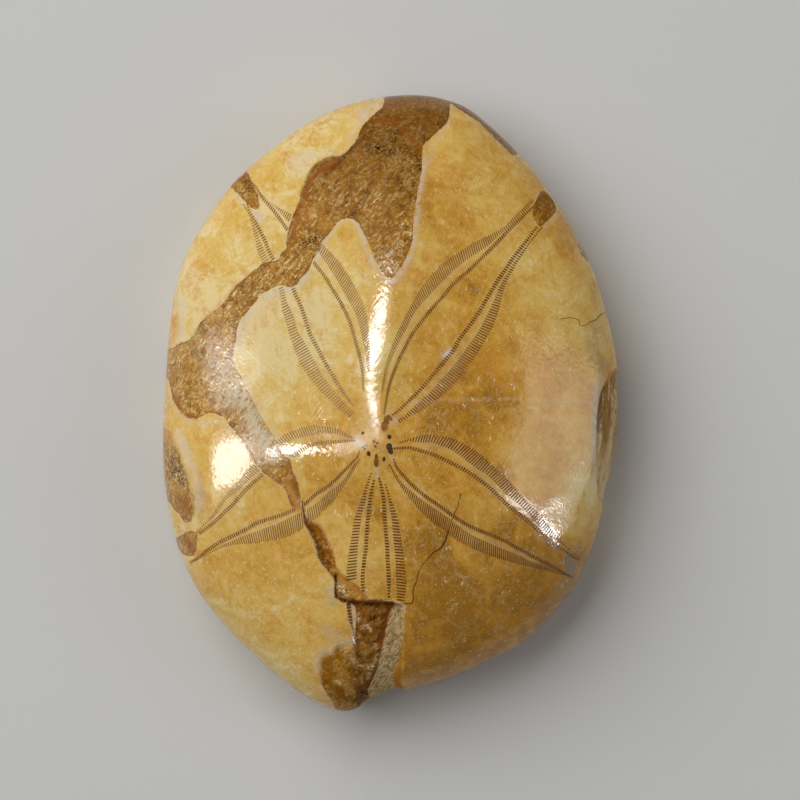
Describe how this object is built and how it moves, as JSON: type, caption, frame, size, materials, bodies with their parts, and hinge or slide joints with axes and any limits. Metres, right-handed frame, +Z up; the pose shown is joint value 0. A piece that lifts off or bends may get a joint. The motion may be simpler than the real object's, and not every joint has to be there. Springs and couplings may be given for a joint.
{
  "type": "fossil sea urchin",
  "caption": "Polished fossil sea urchin of the sea biscuit kind: a low oval dome with a five-petal star, lying on its flat underside.",
  "frame": {"origin": "on the plane of the resting face, under the middle of the outline seen from above", "axes": "+Z up through the dome, +Y towards the rear of the shell along its length, +X to the right seen from above with the rear at the top"},
  "size_m": [0.0701, 0.0949, 0.027],
  "materials": {
    "polished_fossil": "polished honey-coloured calcite, dull brown rock where the shell is missing"
  },
  "bodies": {
    "root": {"fossil_sea_urchin": "polished_fossil"}
  },
  "joints": []
}
